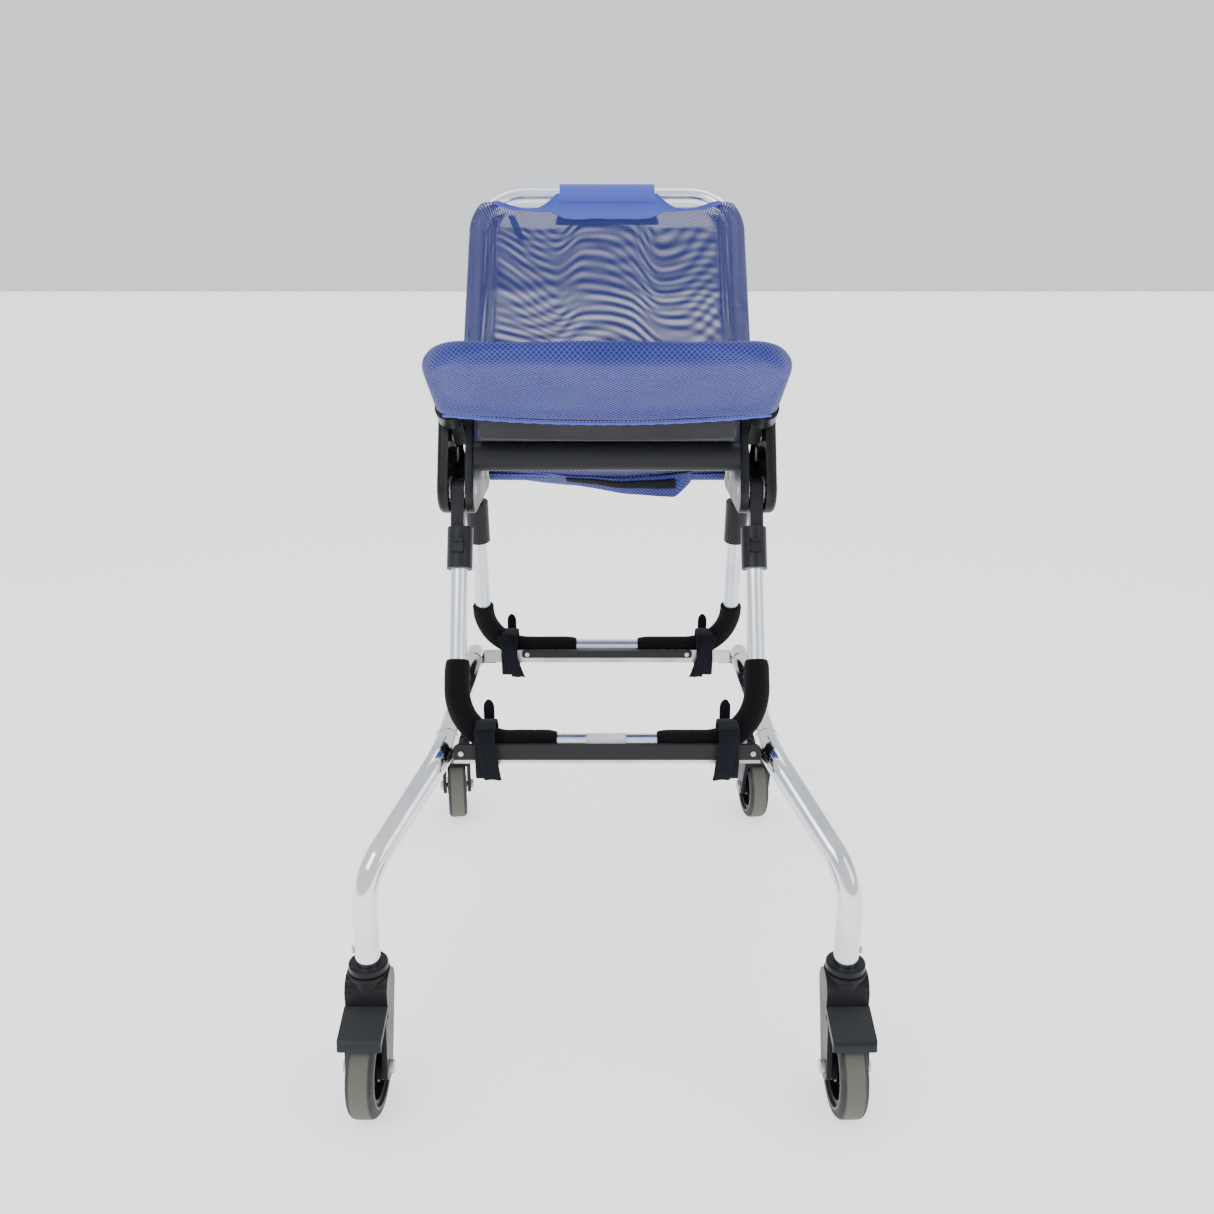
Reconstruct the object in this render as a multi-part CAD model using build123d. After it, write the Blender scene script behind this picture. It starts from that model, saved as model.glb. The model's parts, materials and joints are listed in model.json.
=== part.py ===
from build123d import *
import math
import os

# A child's reclining mesh bath and shower chair on a four-caster trolley. Millimetres.
# +X is to the right seen from the front, +Y is to the rear, +Z is up. The origin is on the
# floor, under the middle of the footprint.

# ---- driving dimensions: clearances -------------------------------------------------------
running_gap = 0.05      # radial clearance of a pin in its bore
body_gap = 0.4          # between faces of pieces that move past each other
seat_gap = 0.3          # between a soft sleeve and what it lies on

# ---- driving dimensions: trolley ----------------------------------------------------------
side_tube_od = 25.4
side_tube_wall = 1.6
side_tube_x = 175.0
side_tube_z = 334.0
front_corner_y = -170.0
rear_corner_y = 153.0
front_stem_x = 241.5
rear_stem_x = 231.0
front_stem_y = -277.5
rear_stem_y = 298.0
front_elbow_z = 250.0
rear_elbow_z = 230.0
elbow_radius = 65.0
corner_radius = 55.0

# ---- driving dimensions: casters ----------------------------------------------------------
wheel_d = 100.0
tyre_width = 28.0
tyre_thickness = 12.0
caster_trail = 25.0
fork_arm_thickness = 5.5
swivel_z = 150.0        # top of the caster housing
stem_pin_d = 11.0
stem_pin_length = 20.0
axle_d = 8.0
collar_ring_r = 21.5    # the ring at the top of the housing
pedal_width = 44.0
pedal_thickness = 6.0
pedal_start_y = -20.5   # the pedal's rear end, at its top
pedal_start_z = 118.6
pedal_slope = 22.0      # degrees down to the front
pedal_length = 37.0
pedal_pin_y = -27.0
pedal_pin_z = 105.8
pedal_pin_d = 4.4
front_caster_turn = 1.5     # degrees outwards from straight ahead
rear_left_caster_turn = 188.7
rear_right_caster_turn = 186.7

# ---- driving dimensions: legs -------------------------------------------------------------
leg_tube_od = 19.0
leg_tube_wall = 1.5
leg_tube_x = 160.0
leg_bend_radius = 57.0
front_leg_pivot = (-40.0, 592.0)    # y, z
front_leg_length = 275.0            # pivot to the centre of the bottom run
front_leg_angle = 26.57             # degrees forward of straight down
rear_leg_pivot = (86.0, 588.0)
rear_leg_length = 247.3
rear_leg_angle = 11.9               # degrees backward of straight down
foam_od = 28.0
front_foam_start = 187.0            # pivot to the sleeve's upper end
rear_foam_start = 183.5
front_bare_gap = 105.0              # bare tube between the two sleeves
rear_bare_gap = 80.0
collar_od = 28.0
front_collar_start = 42.6
front_collar_end = 88.3
rear_collar_start = 38.5
rear_collar_end = 91.0
catch_width = 11.0
catch_travel = 1.6
catch_height = 15.0

# ---- driving dimensions: rails and straps -------------------------------------------------
gutter_width = 35.0
gutter_sheet = 1.5
front_gutter_wall = 7.5     # the rubber strip stands on above it
rear_gutter_wall = 17.0
gutter_back_wall = 4.5      # low, so that a leg can swing out
strip_thickness = 3.0
front_strip_height = 14.5
rear_strip_height = 9.7
rear_strip_length = 222.0
screw_head_d = 5.6
screw_head_height = 1.6
strap_x = 127.0
strap_width = 22.0
strap_thickness = 2.2
strap_slack = 12.0          # how far a strap hangs below its rail
pull_tab_height = 27.0
pull_tab_width = 12.0

# ---- driving dimensions: hubs -------------------------------------------------------------
hub_inner_face = 144.0
hub_inner_cover = 9.0
hub_slot = 19.0
hub_outer_cover = 12.0
hub_wall = 2.5
seat_pivot = (3.0, 648.0)
seat_lobe_r = 40.0
front_lobe_r = 25.0
rear_lobe_r = 20.0
pivot_pin_d = 10.0
tongue_thickness = 14.0
lock_plate_thickness = 1.5
cross_bar_od = 32.0
cross_bar_wall = 2.0
cross_bar_centre = (-37.0, 629.0)
button_d = 15.0
button_centre = (44.0, 617.0)

# ---- driving dimensions: seat, back and cover ---------------------------------------------
loop_tube_od = 19.0
loop_tube_wall = 1.5
loop_x = 168.0
socket_od = 29.0
socket_start = 46.0
socket_end = 70.0
seat_angle = 31.2       # degrees up from level
seat_length = 196.0     # pivot to the centre of the nose run
seat_corner_radius = 46.0
back_angle = 53.0       # degrees up from level
back_length = 410.0
back_corner_radius = 60.0
cover_half_width = 181.0
nose_rear = 79.0
nose_front = 211.0
nose_corner_radius = 48.0
nose_top = 12.5
nose_bottom = -16.5
back_cover_start = 79.0
back_cover_end = 388.0
back_pocket_od = 25.0
back_panel = 8.0
flap_half_width = 71.0
sling_half_width = 137.0
sling_thickness = 6.0

# ---- worked out ---------------------------------------------------------------------------
wheel_r = wheel_d / 2
rim_r = wheel_r - tyre_thickness
frame_shift_y = -(front_stem_y + rear_stem_y) / 2
rail_half_length = side_tube_x - side_tube_od / 2 - 2.0
catch_depth = front_collar_start + 22
fork_gap_half = tyre_width / 2 + 2.0
fork_half = fork_gap_half + fork_arm_thickness
slot_centre_x = hub_inner_face + hub_inner_cover + hub_slot / 2
slot_inner_x = hub_inner_face + hub_inner_cover
slot_outer_x = slot_inner_x + hub_slot
hub_outer_face = slot_outer_x + hub_outer_cover


def along(pivot, angle_from_down, distance):
    """The y and z of a point on a leg's line, distance from its pivot; backward is positive."""
    a = math.radians(angle_from_down)
    return (pivot[0] + distance * math.sin(a), pivot[1] - distance * math.cos(a))


front_run = along(front_leg_pivot, -front_leg_angle, front_leg_length)
rear_run = along(rear_leg_pivot, rear_leg_angle, rear_leg_length)


def write(name, shape):
    """Exports a piece or a list of pieces, shifted so that the footprint is centred on the origin."""
    pieces = shape if isinstance(shape, list) else [shape]
    moved = [Pos(0, frame_shift_y, 0) * piece for piece in pieces]
    export_step(moved[0] if len(moved) == 1 else Compound(children=moved), "parts/" + name + ".step")


def both_sides(name, make):
    """Writes a left and a right copy; make(side) takes -1 for the left and 1 for the right."""
    for word, side in (("left", -1), ("right", 1)):
        write(name + "_" + word, make(side))


def hull_of(circles):
    """The face around circles given as (x, y, radius)."""
    edges = [(Pos(x, y) * Circle(r)).edges()[0] for x, y, r in circles]
    return make_hull(edges)


def slab(face, x0, x1):
    """A face drawn in (y, z), made solid from x0 to x1."""
    return Pos(x0, 0, 0) * extrude(Plane.YZ * face, x1 - x0)


def rod(x0, x1, y, z, r):
    """A round bar along X."""
    return slab(Pos(y, z) * Circle(r), x0, x1)


def swept(path, radius):
    section = Plane(origin=path @ 0, z_dir=path % 0) * Circle(radius)
    return sweep(section, path)


def pipe(path, od, wall):
    return swept(path, od / 2) - swept(path, od / 2 - wall)


def span(side, low, high):
    """The two X limits of a piece that spans low to high on the given side."""
    return (low, high) if side > 0 else (-high, -low)


# ---- trolley ------------------------------------------------------------------------------
def side_tube(side):
    path = FilletPolyline(
        (side * front_stem_x, front_stem_y, swivel_z + 8),
        (side * front_stem_x, front_stem_y, front_elbow_z),
        (side * side_tube_x, front_corner_y, side_tube_z),
        (side * side_tube_x, rear_corner_y, side_tube_z),
        (side * rear_stem_x, rear_stem_y, rear_elbow_z),
        (side * rear_stem_x, rear_stem_y, swivel_z + 8),
        radius=(elbow_radius, corner_radius, corner_radius, elbow_radius),
    )
    return pipe(path, side_tube_od, side_tube_wall)


def gutter_bottom(centre):
    return centre[1] - foam_od / 2 - seat_gap - gutter_sheet


def gutter_outline(centre, front_wall):
    """The rail's section: a channel, open at the top, with a low back wall."""
    y = centre[0]
    half = gutter_width / 2
    bottom = gutter_bottom(centre)
    outer = Polyline(
        (y - half, bottom + front_wall), (y - half, bottom), (y + half, bottom),
        (y + half, bottom + gutter_back_wall), (y + half - gutter_sheet, bottom + gutter_back_wall),
        (y + half - gutter_sheet, bottom + gutter_sheet),
        (y - half + gutter_sheet, bottom + gutter_sheet),
        (y - half + gutter_sheet, bottom + front_wall), close=True,
    )
    return make_face(outer)


def cross_rail(centre, front_wall):
    return slab(gutter_outline(centre, front_wall), -rail_half_length, rail_half_length)


def front_rail_strip():
    """The rubber wall that stands on the front rail's low front wall, lapped over its face."""
    face = front_run[0] - gutter_width / 2
    top = gutter_bottom(front_run) + front_gutter_wall
    outline = make_face(Polyline(
        (face, top - 2.5), (face, top), (face + gutter_sheet, top),
        (face + gutter_sheet, top + front_strip_height), (face - strip_thickness, top + front_strip_height),
        (face - strip_thickness, top - 2.5), close=True))
    strip = slab(outline, -rail_half_length, rail_half_length)
    ends = strip.edges().filter_by(Axis.Y).group_by(Axis.Z)[-1]
    return fillet(ends, 6.5)


def rear_rail_strip():
    """The rubber strip on the face of the rear rail's front wall."""
    face = rear_run[0] - gutter_width / 2
    top = gutter_bottom(rear_run) + rear_gutter_wall
    strip = Pos(0, face - strip_thickness / 2, top - rear_strip_height / 2) * Box(
        rear_strip_length, strip_thickness, rear_strip_height)
    return fillet(strip.edges().filter_by(Axis.Y), 3.5)


def rail_bracket(side, centre):
    """A short block, cut to the side tube, that carries a rail's end."""
    y = centre[0]
    bottom = gutter_bottom(centre)
    x0, x1 = span(side, rail_half_length - 14, side_tube_x)
    block = slab(make_face(Polyline(
        (y - 11, bottom - 3.5), (y + 11, bottom - 3.5), (y + 11, bottom), (y - 11, bottom),
        close=True)), x0, x1)
    wing = slab(make_face(Polyline(
        (y - 11, bottom - 3.5), (y + 11, bottom - 3.5), (y + 11, bottom + 7), (y - 11, bottom + 7),
        close=True)), *span(side, rail_half_length + 0.2, side_tube_x))
    return block + wing - side_tube_solid(side)


def side_tube_solid(side):
    """The side tube's straight run as a solid bar, for cutting brackets to it."""
    return Pos(side * side_tube_x, 0, side_tube_z) * Rot(90, 0, 0) * Cylinder(
        side_tube_od / 2, rear_corner_y - front_corner_y + 80)


def strip_screw(x, centre, height):
    """A screw head on a strip's face, at a height above the rail's bottom."""
    face = centre[0] - gutter_width / 2 - strip_thickness
    return Pos(x, face - screw_head_height / 2, gutter_bottom(centre) + height) * Rot(
        90, 0, 0) * Cylinder(screw_head_d / 2, screw_head_height)


def stem_rivet(side, x, y):
    return rod(*span(side, x + side_tube_od / 2, x + side_tube_od / 2 + 2.5), y, swivel_z + 21, 3.5)


def stem_plug(side, x, y):
    """The plug in a tube's lower end: a flange, a spigot in the tube and a pin for the caster."""
    bore_r = side_tube_od / 2 - side_tube_wall
    flange = Pos(0, 0, swivel_z + body_gap) * Cylinder(
        20.0, 7.6 - body_gap, align=(Align.CENTER, Align.CENTER, Align.MIN))
    flange = fillet(flange.edges().sort_by(Axis.Z)[-1], 2.0)
    spigot = Pos(0, 0, swivel_z + 7.6) * Cylinder(
        bore_r - running_gap, 34, align=(Align.CENTER, Align.CENTER, Align.MIN))
    pin = Pos(0, 0, swivel_z + body_gap) * Cylinder(
        stem_pin_d / 2, stem_pin_length, align=(Align.CENTER, Align.CENTER, Align.MAX))
    return Pos(side * x, y, 0) * (flange + spigot + pin)


# ---- straps -------------------------------------------------------------------------------
def foam_rise(x):
    """How far the foam's centre line lies above the bottom run, at a distance x from the middle."""
    over = x - (leg_tube_x - leg_bend_radius)
    return leg_bend_radius - math.sqrt(leg_bend_radius ** 2 - over ** 2) if over > 0 else 0.0


def foam_top(x):
    """How far the foam's upper side lies above the bottom run, at a distance x from the middle."""
    over = x - (leg_tube_x - leg_bend_radius)
    inner_r = leg_bend_radius - foam_od / 2
    return leg_bend_radius - math.sqrt(inner_r ** 2 - over ** 2) if over > 0 else foam_od / 2


def strap_prism(centre, lean, grow):
    """The space inside a strap, or with grow its outside, with a roof that follows the foam."""
    y, z = centre
    half = strap_width / 2
    low = gutter_bottom(centre) - strap_slack - grow
    front = y - gutter_width / 2 - strip_thickness - 1.0 - grow
    rear = y + gutter_width / 2 + 1.5 + max(lean, 0) * foam_rise(strap_x + half) + grow
    roof_in = z + foam_top(strap_x - half - 1) + 1.5 + grow
    roof_out = z + foam_top(strap_x + half + 1) + 1.5 + grow
    body = slab(make_face(Polyline(
        (front, low), (rear, low), (rear, roof_out + 12), (front, roof_out + 12), close=True)),
        strap_x - half, strap_x + half)
    body = fillet(body.edges().filter_by(Axis.X), 3.0 + grow)
    roof = Plane.XZ * make_face(Polyline(
        (strap_x - half - 1, low - 1), (strap_x + half + 1, low - 1),
        (strap_x + half + 1, roof_out), (strap_x - half - 1, roof_in), close=True))
    keep = Pos(0, rear + 20, 0) * extrude(roof, rear - front + 40)
    return body & keep


def strap(side, centre, lean):
    """A webbing loop around the foam and the rail, with a stiff pull tab standing behind it."""
    loop = strap_prism(centre, lean, strap_thickness) - strap_prism(centre, lean, 0)
    y, z = centre
    rear = y + gutter_width / 2 + 1.5 + max(lean, 0) * foam_rise(strap_x + strap_width / 2)
    face = Plane.XZ * (Pos(strap_x, z + 12) * RectangleRounded(
        pull_tab_width, pull_tab_height * 2, pull_tab_width / 2 - 0.1))
    tab = Pos(0, rear + strap_thickness + 3.0, 0) * extrude(face, 3.6)
    piece = loop + tab
    return piece if side > 0 else mirror(piece, Plane.YZ)


# ---- casters ------------------------------------------------------------------------------
def place(caster, shape):
    x, y, turn = caster
    return Pos(x, y, 0) * Rot(0, 0, turn) * shape


def housing():
    """Two arms, a crown around the stem with a ring at its top, and ears for the pedal's pin."""
    top = swivel_z
    arm_face = hull_of([(-caster_trail, wheel_r, 13.0), (-24.0, wheel_d - 1, 7.0), (-1.0, top - 20, 18.0)])
    arms = slab(arm_face, -fork_half, fork_half)
    arms -= Pos(0, pedal_start_y + 0.8 - 30, top - 14) * Box(60, 60, 60)
    crown = Pos(0, 0, top - 44) * Cylinder(
        19.0, 44, align=(Align.CENTER, Align.CENTER, Align.MIN))
    ring = Pos(0, 0, top - 7) * Cylinder(
        collar_ring_r, 6, align=(Align.CENTER, Align.CENTER, Align.MIN))
    ring = fillet(ring.edges().filter_by(GeomType.CIRCLE), 1.8)
    space = rod(-fork_gap_half, fork_gap_half, -caster_trail, wheel_r, wheel_r + 3)
    relief = Pos(0, pedal_start_y + 0.8 - 30, 0) * Box(2 * fork_gap_half, 60, 2 * top)
    ears = [rod_ear(s) for s in (-1, 1)]
    body = arms - relief + crown + ring
    body -= space
    body += ears
    body -= Pos(0, 0, top + 1) * Cylinder(
        stem_pin_d / 2 + running_gap, stem_pin_length + 2,
        align=(Align.CENTER, Align.CENTER, Align.MAX))
    body -= rod(-fork_half - 1, fork_half + 1, -caster_trail, wheel_r, axle_d / 2 + running_gap)
    body -= rod(-19.2, 19.2, pedal_pin_y, pedal_pin_z, pedal_pin_d / 2 + running_gap)
    return body


def rod_ear(side):
    """One of the two ears that hold the pedal's pin."""
    outline = hull_of([(pedal_pin_y, pedal_pin_z, 3.0), (pedal_pin_y + 9, pedal_pin_z, 2.8)])
    return slab(outline, *span(side, 14.2, fork_gap_half + 1))


def pedal():
    """A sloping foot plate with a down-turned lip, a lug and its hinge pin."""
    a = math.radians(pedal_slope)
    run = (-math.cos(a), -math.sin(a))
    down = (math.sin(a) * pedal_thickness, -math.cos(a) * pedal_thickness)
    rear = (pedal_start_y, pedal_start_z)
    front = (rear[0] + run[0] * pedal_length, rear[1] + run[1] * pedal_length)
    side_view = make_face(Polyline(
        rear, front, (front[0] - 3.5, front[1] - 3.0), (front[0] - 5.0, front[1] - 10.0),
        (front[0] - 2.2, front[1] - 10.4), (front[0] + down[0] - 2.0, front[1] + down[1] - 1.0),
        (front[0] + down[0] + 2.0, front[1] + down[1] + 0.8), (rear[0], rear[1] - pedal_thickness / math.cos(a)),
        close=True))
    plate = slab(side_view, -pedal_width / 2, pedal_width / 2)
    plate = fillet(plate.edges().filter_by(Axis.Z, tolerance=25).sort_by(Axis.Y)[:2], 3.0)
    lug = slab(hull_of([(pedal_pin_y, pedal_pin_z, 3.8), (pedal_pin_y, pedal_pin_z + 5, 3.0)]), -13.8, 13.8)
    pin = rod(-19.0, 19.0, pedal_pin_y, pedal_pin_z, pedal_pin_d / 2)
    return plate + lug + pin


def axle():
    shaft = rod(-fork_half - 1, fork_half + 1, -caster_trail, wheel_r, axle_d / 2)
    heads = [rod(*span(s, fork_half, fork_half + 4), -caster_trail, wheel_r, 7.0) for s in (-1, 1)]
    return shaft + heads


def rim():
    width = tyre_width - 6
    hub_half = fork_gap_half - 1.0
    ring = rod(-width / 2, width / 2, -caster_trail, wheel_r, rim_r)
    for s in (-1, 1):
        cut = rod(*span(s, 3.5, width), -caster_trail, wheel_r, rim_r - 6)
        ring -= cut - rod(*span(s, 3.0, width + 1), -caster_trail, wheel_r, 15.0)
    ring += rod(-hub_half, hub_half, -caster_trail, wheel_r, 13.0)
    return ring - rod(-hub_half - 1, hub_half + 1, -caster_trail, wheel_r, axle_d / 2 + running_gap)


def tyre():
    ring = rod(-tyre_width / 2, tyre_width / 2, -caster_trail, wheel_r, wheel_r)
    ring = fillet(ring.edges().filter_by(GeomType.CIRCLE), 7.0)
    return ring - rod(-tyre_width, tyre_width, -caster_trail, wheel_r, rim_r)


casters = {
    "front_left": (-front_stem_x, front_stem_y, -front_caster_turn),
    "front_right": (front_stem_x, front_stem_y, front_caster_turn),
    "rear_left": (-rear_stem_x, rear_stem_y, rear_left_caster_turn),
    "rear_right": (rear_stem_x, rear_stem_y, rear_right_caster_turn),
}


# ---- legs: drawn hanging straight down from a pivot at the origin, then turned ------------
def hang(pivot, turn, shape):
    return Pos(0, *pivot) * Rot(turn, 0, 0) * shape


def leg_tube(start, length):
    path = FilletPolyline(
        (-leg_tube_x, 0, -start), (-leg_tube_x, 0, -length), (leg_tube_x, 0, -length),
        (leg_tube_x, 0, -start), radius=leg_bend_radius)
    return pipe(path, leg_tube_od, leg_tube_wall)


def foam_sleeve(side, start, length, bare_gap):
    path = FilletPolyline(
        (side * leg_tube_x, 0, -start), (side * leg_tube_x, 0, -length),
        (side * bare_gap / 2, 0, -length), radius=leg_bend_radius)
    return swept(path, foam_od / 2) - swept(path, leg_tube_od / 2 + running_gap)


def knuckle(side, start, end, x0, x1, eye_r):
    """A collar that holds the leg tube, with a tongue and an eye that pivot in the hub."""
    low, high = span(side, x0, x1)
    collar = Pos(side * leg_tube_x, 0, -start) * Cylinder(
        collar_od / 2, end - start, align=(Align.CENTER, Align.CENTER, Align.MAX))
    tongue = slab(hull_of([(0, 0, eye_r), (0, -start - 8, 8.0)]), low, high)
    bore = Pos(side * leg_tube_x, 0, -start - 9) * Cylinder(
        leg_tube_od / 2 + running_gap, end, align=(Align.CENTER, Align.CENTER, Align.MAX))
    eye = rod(low - 1, high + 1, 0, 0, pivot_pin_d / 2 + running_gap)
    return collar + tongue - bore - eye


def front_knuckle(side):
    """The knuckle, with a pocket for the catch on its front."""
    body = knuckle(side, front_collar_start, front_collar_end,
                   slot_centre_x - tongue_thickness / 2, slot_centre_x + tongue_thickness / 2, 13.0)
    floor = -leg_tube_od / 2 - 0.7
    depth = collar_od / 2 + floor + 2
    return body - Pos(side * leg_tube_x, floor - depth / 2, -catch_depth) * Box(
        catch_width + 2 * body_gap, depth, catch_height + 2 * body_gap)


def front_catch(side):
    """A push catch that stands a little proud of the collar."""
    floor = -leg_tube_od / 2 - 0.7 - catch_travel - body_gap
    button = Pos(side * leg_tube_x, floor - 2.2, -catch_depth) * Box(
        catch_width, 4.4, catch_height)
    lip = Pos(side * leg_tube_x, floor - 5.2, -catch_depth + 5) * Box(9, 2.4, 3)
    return fillet(button.edges().filter_by(Axis.Y), 2.0) + lip


def rear_knuckle(side):
    return knuckle(side, rear_collar_start, rear_collar_end,
                   slot_inner_x + body_gap, slot_centre_x - body_gap / 2, 13.0)


# ---- hubs ---------------------------------------------------------------------------------
hub_lobes = [
    (*front_leg_pivot, front_lobe_r), (*seat_pivot, seat_lobe_r), (*rear_leg_pivot, rear_lobe_r)]
pivots = (front_leg_pivot, seat_pivot, rear_leg_pivot)


def hub_outline(shrink=0.0):
    return hull_of([(y, z, r - shrink) for y, z, r in hub_lobes])


def hub_cover(side, near, far, open_side):
    """A shell with bosses at the pivots. It opens towards the slot, at near or at far."""
    low, high = span(side, near, far)
    shell = slab(hub_outline(), low, high)
    far_is_high = (side > 0) == (open_side == "near")
    closed_face = shell.faces().sort_by(Axis.X)[-1 if far_is_high else 0]
    shell = fillet(closed_face.edges(), 6.5 if open_side == "near" else 2.0)
    if open_side == "near":
        cavity = slab(hub_outline(hub_wall), *span(side, near - 1, far - hub_wall))
    else:
        cavity = slab(hub_outline(hub_wall), *span(side, near + hub_wall, far + 1))
    shell -= cavity - [rod(low, high, y, z, 9.0) for y, z in pivots]
    shell -= [rod(low - 2, high + 2, y, z, pivot_pin_d / 2 + running_gap) for y, z in pivots]
    return shell


def outer_cover(side):
    cover = hub_cover(side, slot_outer_x, hub_outer_face, "near")
    cover -= rod(*span(side, slot_outer_x - 1, hub_outer_face + 1), *button_centre, button_d / 2 + 0.3)
    return cover


def inner_cover(side):
    """The inner shell, with two slots towards its rear."""
    cover = hub_cover(side, hub_inner_face, slot_inner_x, "far")
    for y, z in ((52.0, 612.0), (62.0, 588.0)):
        slot = Pos(y, z) * Rot(0, 0, 60) * SlotOverall(13.0, 6.0)
        cover -= slab(slot, *span(side, hub_inner_face - 1, slot_inner_x + 1))
    return cover


def pivot_pins(side):
    return [rod(*span(side, hub_inner_face, hub_outer_face - 1.0), y, z, pivot_pin_d / 2)
            for y, z in pivots]


def lock_plate(side, centre, x):
    """A notched disc beside a tongue."""
    disc = Circle(15.0) - [Rot(0, 0, a) * Pos(15.0, 0) * Rectangle(4.0, 3.0) for a in range(0, 360, 30)]
    disc -= Circle(pivot_pin_d / 2 + running_gap)
    return slab(Pos(*centre) * disc, *span(side, x, x + lock_plate_thickness))


def lock_plates(side):
    plates = []
    for centre in (front_leg_pivot, seat_pivot):
        plates.append(lock_plate(side, centre, slot_inner_x + body_gap))
        plates.append(lock_plate(side, centre, slot_outer_x - body_gap - lock_plate_thickness))
    return plates


def cross_bar():
    half = hub_inner_face
    return rod(-half, half, *cross_bar_centre, cross_bar_od / 2) - rod(
        -half - 1, half + 1, *cross_bar_centre, cross_bar_od / 2 - cross_bar_wall)


def release_button(side):
    """A round push button in the outer cover, with a flange that keeps it in."""
    x_in = slot_outer_x + 1.5
    stem = rod(*span(side, x_in, hub_outer_face + 3.5), *button_centre, button_d / 2)
    flange = rod(*span(side, x_in, hub_outer_face - hub_wall - body_gap),
                 *button_centre, button_d / 2 + 1.5)
    return stem + flange


# ---- seat and back: drawn in the XY plane with the pivot at the origin, then tilted --------
def arm(side, direction, x0, x1, eye_r):
    """An eye and tongue in the hub's slot, with a socket outside it for the loop's tube."""
    low, high = span(side, x0, x1)
    tongue = slab(hull_of([(0, 0, eye_r), (direction * (socket_start + 3), 0, 9.0)]), low, high)
    centre = direction * (socket_start + socket_end) / 2
    socket = Pos(side * loop_x, centre, 0) * Rot(90, 0, 0) * Cylinder(
        socket_od / 2, socket_end - socket_start)
    bore = Pos(side * loop_x, direction * (socket_end - 8), 0) * Rot(90, 0, 0) * Cylinder(
        loop_tube_od / 2 + running_gap, 20)
    return tongue + socket - bore - rod(low - 1, high + 1, 0, 0, pivot_pin_d / 2 + running_gap)


def loop_path(direction, start, length, radius):
    return FilletPolyline(
        (-loop_x, direction * start, 0), (-loop_x, direction * length, 0),
        (loop_x, direction * length, 0), (loop_x, direction * start, 0), radius=radius)


def loop_tube(direction, length, radius):
    return pipe(loop_path(direction, socket_end - 17, length, radius), loop_tube_od, loop_tube_wall)


def tilt_seat(shape):
    return Pos(0, *seat_pivot) * Rot(-seat_angle, 0, 0) * shape


def tilt_back(shape):
    return Pos(0, *rear_leg_pivot) * Rot(back_angle, 0, 0) * shape


def seat_cover():
    """The padded nose around the seat loop."""
    outline = Pos(0, -(nose_rear + nose_front) / 2) * Rectangle(
        2 * cover_half_width, nose_front - nose_rear)
    pad = Pos(0, 0, nose_bottom) * extrude(outline, nose_top - nose_bottom)
    pad = fillet(pad.edges().filter_by(Axis.Z).sort_by(Axis.Y)[:2], nose_corner_radius)
    pad = fillet(pad.edges().group_by(Axis.Z)[-1] + pad.edges().group_by(Axis.Z)[0], 9.0)
    bore = swept(loop_path(-1, nose_rear - 30, seat_length, seat_corner_radius),
                 loop_tube_od / 2 + running_gap)
    return pad - bore


def back_cover():
    """A thin panel between two pockets around the back loop, with a flap over its top run."""
    middle = (back_cover_start + back_cover_end) / 2
    panel = Pos(0, middle, 0) * Box(2 * loop_x, back_cover_end - back_cover_start, back_panel)
    corners = panel.edges().filter_by(Axis.Z).sort_by(Axis.Y)[-2:]
    panel = fillet(corners, 24.0)
    pocket_length = back_length - back_corner_radius - back_cover_start
    pockets = [Pos(s * loop_x, back_cover_start + pocket_length / 2, 0) * Rot(90, 0, 0) * Cylinder(
        back_pocket_od / 2, pocket_length) for s in (-1, 1)]
    flap = Pos(0, (back_cover_end + back_length) / 2, 0) * Box(
        2 * flap_half_width, back_length - back_cover_end + 20, back_panel)
    flap += rod(-flap_half_width, flap_half_width, back_length, 0, back_pocket_od / 2)
    bore = swept(loop_path(1, back_cover_start - 30, back_length, back_corner_radius),
                 loop_tube_od / 2 + running_gap)
    return panel + pockets + flap - bore


def sling():
    """The hammock between the hubs, from above the cross bar to the foot of the back."""
    profile = Spline((-50, 653), (-22, 648), (12, 612), (48, 581), (86, 584), (118, 628))
    sheet = trace(profile, sling_thickness)
    return slab(sheet, -sling_half_width, sling_half_width)


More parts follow.
